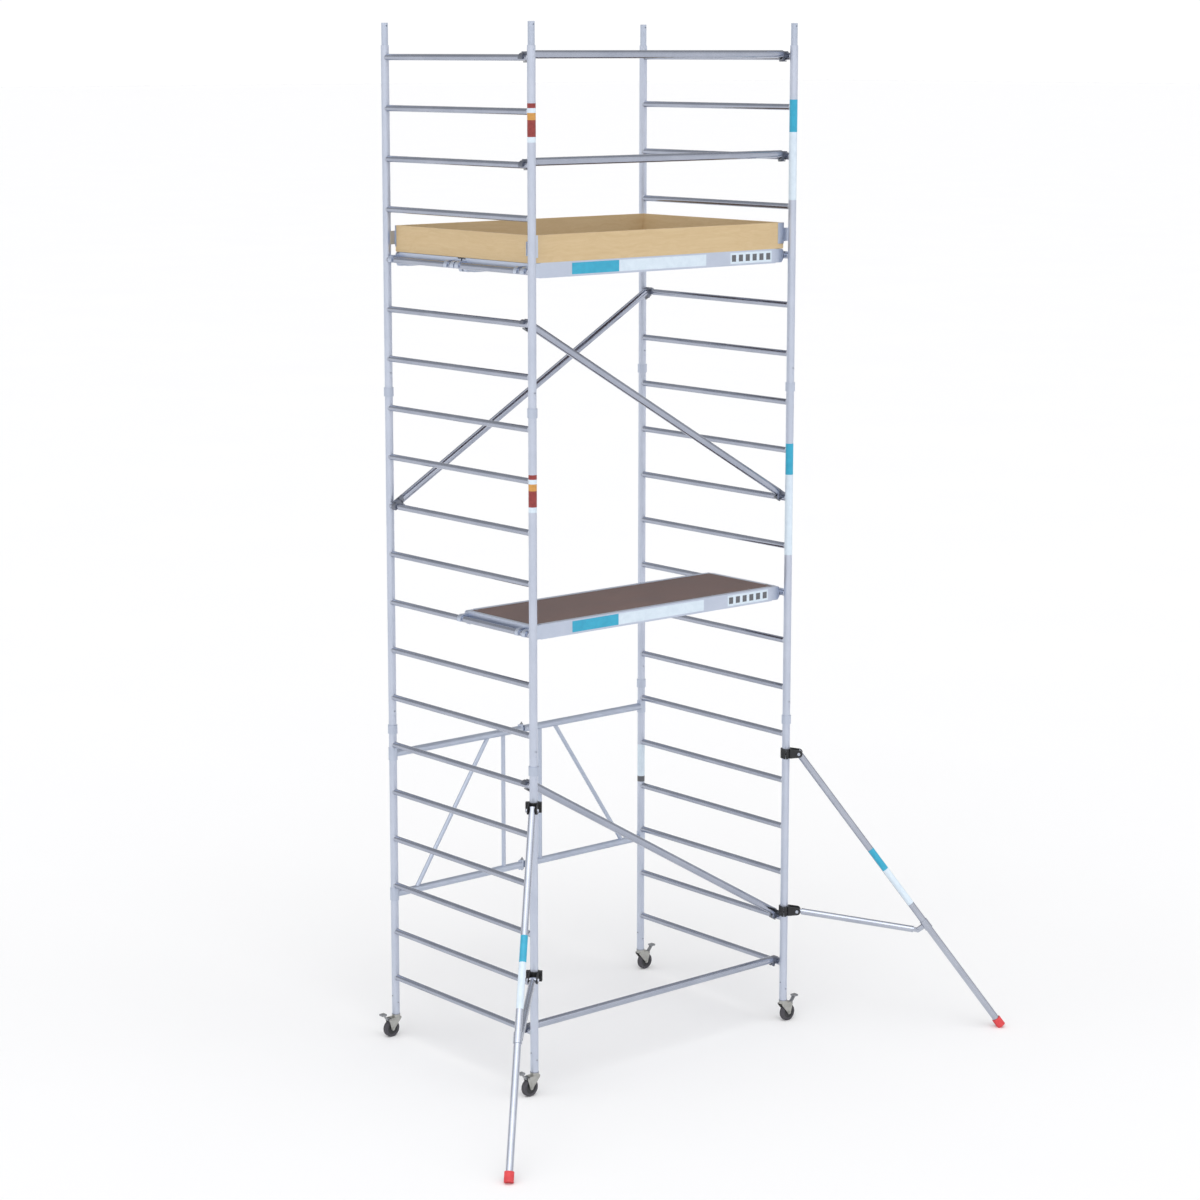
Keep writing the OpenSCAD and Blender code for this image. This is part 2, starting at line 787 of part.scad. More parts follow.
module access_hatch() {
    grip_w = 30;
    grip_len = 90;
    color("#6d5957") place_upper(1) difference() {
        union() {
            translate([-hatch_left, hatch_edge_y - hatch_w, deck_low + seat_gap])
                cube([hatch_len, hatch_w, hatch_t]);
            hatch_knuckles(1);
            for (i = [-1, 1])
                translate([hatch_mid + (i - 0.5) * knuckle_l + seat_gap, hatch_hinge_y - 26, deck_top])
                    cube([knuckle_l - 2 * seat_gap, 26, leaf_t]);
        }
        translate([hatch_mid, hatch_hinge_y, hatch_hinge_z]) rotate([0, 90, 0])
            cylinder(d = hinge_pin_d + 2 * run_gap, h = hatch_len, center = true);
        translate([hatch_mid, hatch_edge_y - hatch_w + 45, deck_low - cut]) {
            translate([-(grip_len - grip_w) / 2, -grip_w / 2, 0])
                cube([grip_len - grip_w, grip_w, deck_t + 3]);
            for (side = [-1, 1]) translate([side * (grip_len - grip_w) / 2, 0, 0])
                cylinder(d = grip_w, h = deck_t + 3);
        }
    }
}

module wind_lock_lower() {
    color("#9a9da5") place_lower() wind_lock();
}

module wind_lock_front() {
    color("#9a9da5") place_upper(-1) wind_lock();
}

module wind_lock_rear() {
    color("#9a9da5") place_upper(1) wind_lock();
}

// ---- Toe boards ----

module place_toe() {
    tower() translate([0, 0, rung_z(upper_deck_rung) + beam_over_rung]) children();
}

module toe_boards() {
    long = 2 * (beam_half - toe_t - weld_gap);
    color("#ceb48d") place_toe() for (side = [-1, 1]) {
        translate([-long / 2, side * (toe_y - toe_t / 2) - toe_t / 2, 0]) cube([long, toe_t, toe_h]);
        translate([side * (beam_half - toe_t / 2) - toe_t / 2, -toe_y, 0])
            cube([toe_t, 2 * toe_y, toe_h]);
    }
}

// An angle round each outer corner of the toe boards, with a tongue that passes the upright
module toe_board_brackets() {
    long_leg = 45;
    short_leg = 10;
    skin = 2;
    low = 28;
    tongue_low = 41;
    tongue_h = 76;
    color("#b9bfcc") place_toe() for (x = [0, 1], y = [0, 1])
        mirror([x, 0, 0]) mirror([0, y, 0]) {
            difference() {
                translate([beam_half + skin - long_leg, toe_y + skin - short_leg, low])
                    cube([long_leg, short_leg, toe_h - low]);
                translate([beam_half - 2 * long_leg, toe_y - 2 * long_leg, 0])
                    cube([2 * long_leg, 2 * long_leg, 2 * toe_h]);
            }
            translate([beam_half, toe_y, tongue_low])
                cube([half_bay + 8 - beam_half, skin, tongue_h]);
        }
}

// ---- Castors ----

// Places a castor drawn with its trail towards +X under one upright
module place_castor(right, rear) {
    tower() translate([right * half_bay, rear * half_w, 0])
        mirror([right < 0 ? 1 : 0, 0, 0]) children();
}

module castor_stems() {
    color("#a9adb8") tower() at_uprights() {
        difference() {
            union() {
                translate([0, 0, castor_h]) cylinder(d = insert_d, h = stem_h);
                translate([0, 0, castor_h - flange_t]) cylinder(d = upright_d + 4, h = flange_t);
                translate([0, 0, plate_low - seat_gap - 1])
                    cylinder(d = kingpin_d, h = castor_h - plate_low);
                translate([0, 0, plate_low - seat_gap - 6]) cylinder(d = 24, h = 6, $fn = 6);
            }
            translate([0, 0, stem_bolt_z]) cross_bar(joint_hole_d, 2 * upright_d);
            translate([0, 0, button_z]) rotate([0, 0, 90]) cross_bar(joint_hole_d, 2 * upright_d);
        }
        translate([0, 0, stem_bolt_z]) cross_bar(joint_pin_d, upright_d + 4);
        translate([0, 0, button_z]) rotate([0, 0, 90]) cross_bar(joint_pin_d, upright_d + 6);
    }
}

// Side outline of a fork leg
module fork_leg_outline() {
    axle_z = wheel_d / 2;
    polygon([
        [-24, plate_low + 4], [-24, plate_low - 6], [trail - 11, axle_z], [trail + 11, axle_z],
        [pedal_x + 9, pedal_z - 10], [pedal_x + 9, pedal_z + 3], [trail + 8, plate_low + 4]
    ]);
    translate([trail, axle_z]) circle(r = 11);
}

module castor_fork() {
    axle_z = wheel_d / 2;
    plate_len = trail + 32;
    color("#b7b7b5") {
        difference() {
            union() {
                translate([0, 0, crown_low]) cylinder(d = upright_d + 4, h = crown_top - crown_low);
                translate([-24, -fork_y - fork_t, plate_low])
                    cube([plate_len, 2 * (fork_y + fork_t), 4]);
                for (side = [-1, 1]) translate([0, side * (fork_y + fork_t / 2), 0])
                    along_y(fork_t) fork_leg_outline();
            }
            translate([0, 0, plate_low - cut])
                cylinder(d = kingpin_d + 2 * run_gap, h = castor_h);
            translate([trail, 0, axle_z]) cross_bar(axle_d, 4 * wheel_w);
            translate([pedal_x, 0, pedal_z]) cross_bar(pedal_pin_d + 2 * run_gap, 4 * wheel_w);
        }
        translate([trail, 0, axle_z]) {
            cross_bar(axle_d, 2 * (fork_y + fork_t));
            for (side = [-1, 1]) translate([0, side * (fork_y + fork_t + 2), 0])
                rotate([90, 0, 0]) cylinder(d = 17, h = 4, center = true, $fn = 6);
        }
    }
}

// Section of the tyre: flat tread with rounded shoulders
module tyre_section() {
    rim_r = wheel_d / 2 - 17;
    round_r = 6;
    translate([rim_r, -wheel_w / 2]) square([17 - round_r, wheel_w]);
    translate([rim_r, -wheel_w / 2 + round_r]) square([17, wheel_w - 2 * round_r]);
    for (side = [-1, 1]) translate([wheel_d / 2 - round_r, side * (wheel_w / 2 - round_r)])
        circle(r = round_r);
}

module castor_wheel() {
    hub_w = wheel_w - 4;
    boss_w = 2 * (fork_y - side_gap);
    translate([trail, 0, wheel_d / 2]) rotate([90, 0, 0]) {
        color("#3a3c40") rotate_extrude() tyre_section();
        color("#1f2022") difference() {
            union() {
                cylinder(d = wheel_d - 34, h = hub_w, center = true);
                cylinder(d = 26, h = boss_w, center = true);
            }
            cylinder(d = axle_d + 2 * run_gap, h = 2 * wheel_w, center = true);
        }
    }
}

// The brake pedal: pin, cam over the tyre, arm and foot pad
module brake_pedal() {
    arm_w = 24;
    cam_r = 6.8;
    color("#8d8f93") {
        translate([pedal_x, 0, pedal_z]) cross_bar(pedal_pin_d, 2 * (fork_y + fork_t) + 3);
        along_y(arm_w) {
            translate([pedal_x, pedal_z]) circle(r = cam_r);
            translate([pedal_x + 7.5, pedal_z - 6]) circle(r = 4.5);
            polygon([
                [pedal_x, pedal_z - 4], [pedal_x + 16, pedal_z - 2], [pedal_tip_x - 2, pedal_tip_z - 5],
                [pedal_tip_x - 8, pedal_tip_z - 5], [pedal_x + 12, pedal_z + 3], [pedal_x, pedal_z + 5]
            ]);
        }
    }
    color("#55585c") translate([pedal_tip_x, 0, pedal_tip_z]) cube([32, arm_w + 8, 10], center = true);
}

module castor_fork_front_left() { place_castor(-1, -1) castor_fork(); }
module castor_fork_rear_left() { place_castor(-1, 1) castor_fork(); }
module castor_fork_front_right() { place_castor(1, -1) castor_fork(); }
module castor_fork_rear_right() { place_castor(1, 1) castor_fork(); }
module castor_wheel_front_left() { place_castor(-1, -1) castor_wheel(); }
module castor_wheel_rear_left() { place_castor(-1, 1) castor_wheel(); }
module castor_wheel_front_right() { place_castor(1, -1) castor_wheel(); }
module castor_wheel_rear_right() { place_castor(1, 1) castor_wheel(); }
module brake_pedal_front_left() { place_castor(-1, -1) brake_pedal(); }
module brake_pedal_rear_left() { place_castor(-1, 1) brake_pedal(); }
module brake_pedal_front_right() { place_castor(1, -1) brake_pedal(); }
module brake_pedal_rear_right() { place_castor(1, 1) brake_pedal(); }

// ---- Stabilisers ----

// Puts a stabiliser drawn towards +X on a front upright, turned outwards
module place_stabiliser(right) {
    tower() translate([right * half_bay, -half_w, 0])
        rotate([0, 0, -90 + right * (90 - foot_angle)]) children();
}

// Half of a clamp's body: ring half and bolt flanges; the split is at X = 0
module clamp_half() {
    ring_r = up_r + clamp_wall;
    difference() {
        union() {
            cylinder(r = ring_r, h = clamp_h, center = true);
            translate([clamp_lug_t / 2 + clamp_gap / 2, 0, 0])
                cube([clamp_lug_t, 2 * clamp_lug, clamp_h], center = true);
        }
        cylinder(d = upright_d + 2 * run_gap, h = 2 * clamp_h, center = true);
        translate([clamp_gap / 2 - 2 * ring_r, -2 * clamp_lug, -clamp_h])
            cube([2 * ring_r, 4 * clamp_lug, 2 * clamp_h]);
        for (side = [-1, 1]) translate([0, side * clamp_bolt_y, 0]) rotate([0, 90, 0])
            cylinder(d = clamp_bolt_d + 2 * run_gap, h = 4 * clamp_lug_t, center = true);
    }
}

// The clamp's clevis ears, either side of a tube of the given diameter
module clamp_ears(tube_size) {
    ear_y = tube_size / 2 + side_gap;
    ring_r = up_r + clamp_wall;
    difference() {
        for (side = [-1, 1]) translate([0, side * (ear_y + ear_t / 2), 0]) along_y(ear_t) {
            translate([clamp_pivot_r, 0]) circle(r = 22);
            polygon([
                [up_r + 2, -clamp_h / 2], [clamp_pivot_r, -22], [clamp_pivot_r, 22],
                [up_r + 2, clamp_h / 2]
            ]);
        }
        cylinder(r = ring_r, h = 2 * clamp_h, center = true);
        translate([clamp_gap / 2, -2 * clamp_lug, -clamp_h])
            cube([clamp_lug_t, 4 * clamp_lug, 2 * clamp_h]);
        translate([clamp_pivot_r, 0, 0]) cross_bar(pivot_hole_d, 4 * clamp_lug);
    }
}

// A bolted coupler on the upright with its pivot bolt
module clamp(tube_size) {
    ear_out = tube_size / 2 + side_gap + ear_t;
    flange_out = clamp_gap / 2 + clamp_lug_t;
    color("#26282b") {
        union() {
            clamp_half();
            clamp_ears(tube_size);
        }
        mirror([1, 0, 0]) clamp_half();
    }
    color("#c9ccd2") {
        translate([clamp_pivot_r, 0, 0]) {
            cross_bar(pivot_d, 2 * ear_out + 2 * weld_gap + cut);
            for (side = [-1, 1]) translate([0, side * (ear_out + weld_gap + 3), 0])
                rotate([90, 0, 0]) cylinder(d = 18, h = 6, center = true, $fn = 6);
        }
        for (side = [-1, 1]) translate([0, side * clamp_bolt_y, 0]) rotate([0, 90, 0]) {
            cylinder(d = clamp_bolt_d, h = 2 * flange_out + 2 * weld_gap + cut, center = true);
            for (end = [-1, 1]) translate([0, 0, end * (flange_out + weld_gap + 3)])
                cylinder(d = 13, h = 6, center = true, $fn = 6);
        }
    }
}

module stabiliser_clamps() {
    translate([0, 0, upper_clamp_z]) clamp(strut_d);
    translate([0, 0, lower_clamp_z]) clamp(arm_d);
}

// The strut's frame: its top bolt at the origin, the strut along +X
module along_strut() {
    translate([clamp_pivot_r, 0, upper_clamp_z]) rotate([0, strut_angle, 0]) children();
}

// The long strut, with the sleeve and ears that carry the arm
module stabiliser_strut() {
    top_over = 16;
    ear_gap = 10;
    ear_t2 = 6;
    color("#bdc1ca") along_strut() {
        difference() {
            translate([-top_over, 0, 0]) rotate([0, 90, 0])
                tube(strut_d, strut_wall, strut_len + top_over);
            cross_bar(pivot_hole_d, 2 * strut_d);
        }
        difference() {
            union() {
                translate([arm_seat - 30, 0, 0]) rotate([0, 90, 0]) cylinder(d = strut_d + 8, h = 60);
                for (side = [-1, 1]) translate([0, side * (ear_gap + ear_t2) / 2, 0])
                    along_y(ear_t2) {
                        translate([arm_seat, -arm_drop]) circle(r = 13);
                        translate([arm_seat - 13, -arm_drop]) square([26, arm_drop]);
                    }
            }
            translate([arm_seat - 60, 0, 0]) rotate([0, 90, 0])
                cylinder(d = strut_d + 2 * weld_gap, h = 120);
            translate([arm_seat, 0, -arm_drop]) cross_bar(pivot_hole_d, 2 * strut_d);
        }
        translate([arm_seat, 0, -arm_drop]) {
            cross_bar(pivot_d, ear_gap + 2 * ear_t2 + 2 * weld_gap + cut);
            for (side = [-1, 1]) translate([0, side * (ear_gap / 2 + ear_t2 + weld_gap + 3), 0])
                rotate([90, 0, 0]) cylinder(d = 18, h = 6, center = true, $fn = 6);
        }
    }
}

// The bracing arm: tube, end fitting round the clamp bolt and flat eye at the strut
module stabiliser_arm() {
    eye_t = 9;
    plug_d = arm_d - 2 * strut_wall - 2 * weld_gap;
    color("#bdc1ca") translate([clamp_pivot_r, 0, lower_clamp_z]) rotate([0, -arm_angle, 0]) {
        translate([arm_end + weld_gap, 0, 0]) rotate([0, 90, 0])
            tube(arm_d, strut_wall, arm_len - 2 * arm_end - 2 * weld_gap);
        difference() {
            union() {
                cross_bar(28, arm_d);
                rotate([0, 90, 0]) cylinder(d = 26, h = arm_end);
                translate([arm_end - cut, 0, 0]) rotate([0, 90, 0]) cylinder(d = plug_d, h = 30);
                translate([arm_end - 8, 0, 0]) rotate([0, 90, 0]) cylinder(d = arm_d, h = 8);
            }
            cross_bar(pivot_hole_d, 2 * arm_d);
        }
        difference() {
            union() {
                translate([arm_len, 0, 0]) cross_bar(26, eye_t);
                translate([arm_len - arm_end, -eye_t / 2, -13]) cube([arm_end, eye_t, 26]);
                translate([arm_len - arm_end - 30, 0, 0]) rotate([0, 90, 0])
                    cylinder(d = plug_d, h = 31);
                translate([arm_len - arm_end, 0, 0]) rotate([0, 90, 0]) cylinder(d = arm_d, h = 8);
            }
            translate([arm_len, 0, 0]) cross_bar(pivot_hole_d, 2 * arm_d);
        }
    }
}

// The rubber boot on the strut's end, cut flat on the floor
module stabiliser_foot() {
    tall = 2 * boot_len;
    color("#d6464b") difference() {
        intersection() {
            along_strut() translate([strut_len + boot_past - boot_len, 0, 0])
                rotate([0, 90, 0]) cylinder(r = boot_r, h = boot_len);
            translate([foot_reach - tall, -tall, 0]) cube([2 * tall, 2 * tall, tall]);
        }
        along_strut() rotate([0, 90, 0])
            cylinder(d = strut_d + 2 * weld_gap, h = strut_len + weld_gap);
    }
}

module stabiliser_clamps_left() { place_stabiliser(-1) stabiliser_clamps(); }
module stabiliser_clamps_right() { place_stabiliser(1) stabiliser_clamps(); }
module stabiliser_strut_left() { place_stabiliser(-1) stabiliser_strut(); }
module stabiliser_strut_right() { place_stabiliser(1) stabiliser_strut(); }
module stabiliser_arm_left() { place_stabiliser(-1) stabiliser_arm(); }
module stabiliser_arm_right() { place_stabiliser(1) stabiliser_arm(); }
module stabiliser_foot_left() { place_stabiliser(-1) stabiliser_foot(); }
module stabiliser_foot_right() { place_stabiliser(1) stabiliser_foot(); }

base_frame_left();
base_frame_right();
middle_frame_left();
middle_frame_right();
top_frame_left();
top_frame_right();
joint_spigots();
joint_collars();
folding_gate_left();
folding_gate_right();
gate_hinge_pins();
guardrail_top();
guardrail_knee();
front_diagonal_brace();
rear_diagonal_brace();
base_diagonal_brace();
base_horizontal_brace();
lower_platform_frame();
lower_platform_deck();
front_platform_frame();
front_platform_deck();
rear_platform_frame();
rear_platform_deck();
access_hatch();
toe_boards();
toe_board_brackets();
castor_stems();
castor_fork_front_left();
castor_fork_rear_left();
castor_fork_front_right();
castor_fork_rear_right();
castor_wheel_front_left();
castor_wheel_rear_left();
castor_wheel_front_right();
castor_wheel_rear_right();
brake_pedal_front_left();
brake_pedal_rear_left();
brake_pedal_front_right();
brake_pedal_rear_right();
stabiliser_clamps_left();
stabiliser_clamps_right();
stabiliser_strut_left();
stabiliser_strut_right();
stabiliser_arm_left();
stabiliser_arm_right();
stabiliser_foot_left();
stabiliser_foot_right();
latch_guardrail(false);  // latch_guardrail_left
latch_guardrail(true);  // latch_guardrail_right
latch_knee_rail(false);  // latch_knee_rail_left
latch_knee_rail(true);  // latch_knee_rail_right
latch_front_brace(false);  // latch_front_brace_left
latch_front_brace(true);  // latch_front_brace_right
latch_rear_brace(false);  // latch_rear_brace_left
latch_rear_brace(true);  // latch_rear_brace_right
latch_base_brace(false);  // latch_base_brace_left
latch_base_brace(true);  // latch_base_brace_right
wind_lock_lower();
wind_lock_front();
wind_lock_rear();
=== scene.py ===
"""Looks for a mobile scaffold tower: finishes for its tubes, decks, boards and castors, and the small
parts that are surfaces only, such as weld beads, labels, hub caps, rivets and bolt caps."""

import json
import math

import bmesh
import bpy
import numpy as np
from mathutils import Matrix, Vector


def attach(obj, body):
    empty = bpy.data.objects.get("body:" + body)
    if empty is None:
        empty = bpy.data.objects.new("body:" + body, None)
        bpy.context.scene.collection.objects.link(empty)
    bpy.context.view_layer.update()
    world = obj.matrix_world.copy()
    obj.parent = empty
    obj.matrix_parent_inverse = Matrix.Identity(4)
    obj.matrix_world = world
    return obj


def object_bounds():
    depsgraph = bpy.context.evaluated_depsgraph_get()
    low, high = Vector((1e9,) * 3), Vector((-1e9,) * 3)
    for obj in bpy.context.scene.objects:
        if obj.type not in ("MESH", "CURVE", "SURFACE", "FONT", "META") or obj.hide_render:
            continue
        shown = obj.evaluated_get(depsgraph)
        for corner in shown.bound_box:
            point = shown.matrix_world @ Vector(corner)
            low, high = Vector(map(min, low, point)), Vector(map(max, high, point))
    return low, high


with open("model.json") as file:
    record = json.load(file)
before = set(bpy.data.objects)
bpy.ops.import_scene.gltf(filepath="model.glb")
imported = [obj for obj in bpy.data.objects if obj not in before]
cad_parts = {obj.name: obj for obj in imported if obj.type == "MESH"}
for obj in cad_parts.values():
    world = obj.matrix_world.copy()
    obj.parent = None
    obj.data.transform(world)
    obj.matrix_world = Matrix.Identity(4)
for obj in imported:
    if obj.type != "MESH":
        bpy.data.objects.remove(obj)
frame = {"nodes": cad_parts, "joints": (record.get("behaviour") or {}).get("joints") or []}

# ---- Places and sizes, in metres ----

JOINT_AT = {j["name"]: Vector(j["pos_m"]) for j in frame["joints"]}
UPRIGHT = {name: JOINT_AT["swivel_" + name] for name in
           ("front_left", "rear_left", "front_right", "rear_right")}
MID_Y = (UPRIGHT["front_left"].y + UPRIGHT["rear_left"].y) / 2
HALF_BAY = UPRIGHT["front_right"].x
HALF_W = UPRIGHT["rear_left"].y - MID_Y

FIRST_RUNG = 0.357
RUNG_PITCH = 0.280
RUNG_R = 0.0175
UPRIGHT_R = 0.0225
LOWER_DECK_RUNG = 8
UPPER_DECK_RUNG = 15
FRAME_RUNGS = (("base", 0, 6), ("middle", 6, 7), ("top", 13, 7))
SIDES = ((-1, "left"), (1, "right"))
BEAM_FACE = 0.605
DECK_OVER_RUNG = 0.042
PLATFORM_Y = 0.305
STRUT_R = 0.020
ARM_R = 0.019
LABEL_T = 0.0004
ARC_POINTS = 15


def rung_z(i):
    return FIRST_RUNG + i * RUNG_PITCH


# ---- Camera ----

CAMERA_FROM_TOWER = Vector((-10.5987, -12.5245, 5.7154))
CAMERA_YAW = 0.7011
CAMERA_DROP = 0.1691
LENS = 86.68
SENSOR = 36
SIGHT = 900
SHIFT = (0.0104, -0.0472)

cam_data = bpy.data.cameras.new("camera")
cam = bpy.data.objects.new("camera", cam_data)
bpy.context.scene.collection.objects.link(cam)
cam.location = CAMERA_FROM_TOWER + Vector((0, MID_Y, 0))
cam.rotation_euler = (math.pi / 2 - CAMERA_DROP, 0, -CAMERA_YAW)
cam_data.lens = LENS
cam_data.sensor_width = SENSOR
cam_data.shift_x, cam_data.shift_y = SHIFT
cam_data.clip_end = SIGHT
bpy.context.scene.camera = cam

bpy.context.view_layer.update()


# ---- Surfaces ----

def grid_faces(rows, cols, close_cols=True):
    """Quads between neighbouring rows of points; the last column meets the first when closed."""
    i, j = np.meshgrid(np.arange(rows - 1), np.arange(cols if close_cols else cols - 1), indexing="ij")
    k = (j + 1) % cols
    quads = np.stack([i * cols + j, i * cols + k, (i + 1) * cols + k, (i + 1) * cols + j], -1)
    return quads.reshape(-1, 4)


def loft(rings):
    """A closed skin through rings of points (rows, points, xyz), with a flat cap on each end."""
    rows, cols = rings.shape[:2]
    faces = grid_faces(rows, cols).tolist()
    faces.append(list(range(cols))[::-1])
    faces.append(list(range((rows - 1) * cols, rows * cols)))
    return rings.reshape(-1, 3), faces


def closed_ring(rings):
    """A skin through rings of points in which the last ring meets the first, as a torus."""
    rows, cols = rings.shape[:2]
    i, j = np.meshgrid(np.arange(rows), np.arange(cols), indexing="ij")
    i2, j2 = (i + 1) % rows, (j + 1) % cols
    quads = np.stack([i * cols + j, i * cols + j2, i2 * cols + j2, i2 * cols + j], -1)
    return rings.reshape(-1, 3), quads.reshape(-1, 4).tolist()


def add_piece(name, parts, material, body, smooth=40):
    """Joins (points, faces) parts into one mesh, turns its faces outwards and hangs it on a body."""
    points, faces, start = [], [], 0
    for part_points, part_faces in parts:
        points.append(np.asarray(part_points, float))
        faces += [[v + start for v in f] for f in part_faces]
        start += len(part_points)
    mesh = bpy.data.meshes.new(name)
    mesh.from_pydata(np.concatenate(points).tolist(), [], faces)
    bm = bmesh.new()
    bm.from_mesh(mesh)
    bmesh.ops.recalc_face_normals(bm, faces=bm.faces)
    bm.to_mesh(mesh)
    bm.free()
    mesh.shade_smooth()
    mesh.set_sharp_from_angle(angle=math.radians(smooth))
    mesh.materials.append(material)
    obj = bpy.data.objects.new(name, mesh)
    bpy.context.scene.collection.objects.link(obj)
    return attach(obj, body)


def axes_along(direction):
    """Two unit vectors square to a direction, which make a right-handed set with it."""
    d = np.asarray(direction, float) / np.linalg.norm(direction)
    side = np.cross([0, 0, 1], d) if abs(d[2]) < 0.9 else np.cross([0, 1, 0], d)
    side /= np.linalg.norm(side)
    return side, np.cross(d, side), d


def revolve(profile, origin, direction, sides=32):
    """Turns a profile of (radius, distance along) points round an axis; flat caps close its ends."""
    u, v, d = axes_along(direction)
    turn = np.linspace(0, 2 * np.pi, sides, endpoint=False)
    r, h = np.asarray(profile, float).T
    around = np.cos(turn)[:, None] * u + np.sin(turn)[:, None] * v
    rings = np.asarray(origin) + r[:, None, None] * around + (h[:, None] * d)[:, None, :]
    return loft(rings)


def block(lo, hi):
    """A rectangular block between two corners."""
    (x0, y0, z0), (x1, y1, z1) = lo, hi
    rings = np.array([[[x0, y0, z], [x1, y0, z], [x1, y1, z], [x0, y1, z]] for z in (z0, z1)], float)
    return loft(rings)


def wrap(origin, direction, facing, radius, spread, start, end, thickness=LABEL_T):
    """A thin label bent round a tube: an arc of the given spread, carried along the tube's axis.
    Its section goes along the outer arc and back along the tube's own radius."""
    d = np.asarray(direction, float) / np.linalg.norm(direction)
    u = np.asarray(facing, float) - np.dot(facing, d) * d
    u /= np.linalg.norm(u)
    v = np.cross(d, u)
    arc = np.linspace(-spread / 2, spread / 2, ARC_POINTS)
    turn = np.concatenate([arc, arc[::-1]])
    r = np.repeat([radius + thickness, radius + thickness / 4], ARC_POINTS)
    section = r[:, None] * (np.cos(turn)[:, None] * u + np.sin(turn)[:, None] * v)
    rings = np.asarray(origin) + section[None] + np.array([start, end])[:, None, None] * d
    return loft(rings)


def weld_bead(centre, tube_r, post_r, inward, bead=0.0026):
    """The bead where a tube meets a round post: a thin ring whose middle line is the curve that the
    two cylinders share, and whose thickness ripples a little round the tube."""
    t = np.linspace(0, 2 * np.pi, 28, endpoint=False)
    s = np.linspace(0, 2 * np.pi, 6, endpoint=False)
    fat = bead * (1 + 0.12 * np.cos(9 * t))[:, None]
    out = tube_r + fat * np.cos(s)
    along = np.sqrt(post_r ** 2 - (tube_r * np.cos(t)) ** 2)[:, None] + fat * np.sin(s)
    rings = np.stack([out * np.cos(t)[:, None], inward * along, out * np.sin(t)[:, None]], -1)
    return closed_ring(rings + np.asarray(centre))


# ---- Finishes ----

def linear(rgb):
    """A colour given as 0 to 255 display values, in linear light."""
    c = np.array(rgb, float) / 255
    return tuple(np.where(c <= 0.04045, c / 12.92, ((c + 0.055) / 1.055) ** 2.4)) + (1.0,)


class Finish:
    """A node material under construction, read in the object's own coordinates."""

    def __init__(self, name):
        self.material = bpy.data.materials.new(name)
        self.material.use_nodes = True
        self.tree = self.material.node_tree
        self.shader = self.tree.nodes["Principled BSDF"]
        self.place = self.tree.nodes.new("ShaderNodeTexCoord").outputs["Object"]

    def node(self, kind, **settings):
        made = self.tree.nodes.new("ShaderNode" + kind)
        for key, value in settings.items():
            setattr(made, key, value)
        return made

    def link(self, source, target):
        self.tree.links.new(source, target)

    def scaled(self, scale, turn=(0, 0, 0)):
        """The object's coordinates turned and stretched."""
        m = self.node("Mapping")
        m.inputs["Scale"].default_value = scale
        m.inputs["Rotation"].default_value = turn
        self.link(self.place, m.inputs["Vector"])
        return m.outputs["Vector"]

    def noise(self, scale, detail=4, place=None, roughness=0.5):
        n = self.node("TexNoise")
        n.inputs["Scale"].default_value = scale
        n.inputs["Detail"].default_value = detail
        n.inputs["Roughness"].default_value = roughness
        self.link(place or self.place, n.inputs["Vector"])
        return n.outputs["Fac"]

    def spread(self, source, low, high, from_low=0.3, from_high=0.7):
        """Maps a value onto a range, clamped."""
        m = self.node("MapRange")
        limits = {"From Min": from_low, "From Max": from_high, "To Min": low, "To Max": high}
        for key, value in limits.items():
            m.inputs[key].default_value = value
        self.link(source, m.inputs["Value"])
        return m.outputs["Result"]

    def math(self, operation, a, b=0.0):
        m = self.node("Math", operation=operation)
        for socket, value in zip(m.inputs, (a, b)):
            if isinstance(value, (int, float)):
                socket.default_value = value
            else:
                self.link(value, socket)
        return m.outputs[0]

    def mix(self, factor, a, b):
        """Blends two colours; each is a linear colour or a socket."""
        m = self.node("Mix", data_type="RGBA")
        self.link(factor, m.inputs["Factor"])
        for socket, value in ((m.inputs[6], a), (m.inputs[7], b)):
            if isinstance(value, tuple):
                socket.default_value = value
            else:
                self.link(value, socket)
        return m.outputs[2]

    def mix_value(self, factor, a, b):
        m = self.node("Mix", data_type="FLOAT")
        self.link(factor, m.inputs["Factor"])
        for socket, value in ((m.inputs[2], a), (m.inputs[3], b)):
            if isinstance(value, (int, float)):
                socket.default_value = value
            else:
                self.link(value, socket)
        return m.outputs[0]

    def axis(self, name):
        s = self.node("SeparateXYZ")
        self.link(self.place, s.inputs[0])
        return s.outputs[name]

    def bump(self, height, distance, strength=0.5):
        b = self.node("Bump")
        b.inputs["Distance"].default_value = distance
        b.inputs["Strength"].default_value = strength
        self.link(height, b.inputs["Height"])
        self.link(b.outputs["Normal"], self.shader.inputs["Normal"])

    def set(self, **values):
        for key, value in values.items():
            self.shader.inputs[key.replace("_", " ")].default_value = value


def plain_finish(name, light, dark, rough, metallic=0.0, patch=6.0, grain=400.0, depth=0.0002, coat=0.0):
    """Two close colours in soft patches, roughness that wanders, and a fine grain as bump."""
    f = Finish(name)
    patches = f.noise(patch, detail=6, roughness=0.6)
    f.link(f.mix(f.spread(patches, 0, 1), linear(dark), linear(light)), f.shader.inputs["Base Color"])
    fine = f.noise(grain, detail=3)
    f.link(f.spread(f.math("ADD", f.math("MULTIPLY", patches, 0.6), f.math("MULTIPLY", fine, 0.4)),
                    rough[0], rough[1]), f.shader.inputs["Roughness"])
    f.bump(fine, depth)
    f.set(Metallic=metallic, Coat_Weight=coat)
    return f.material


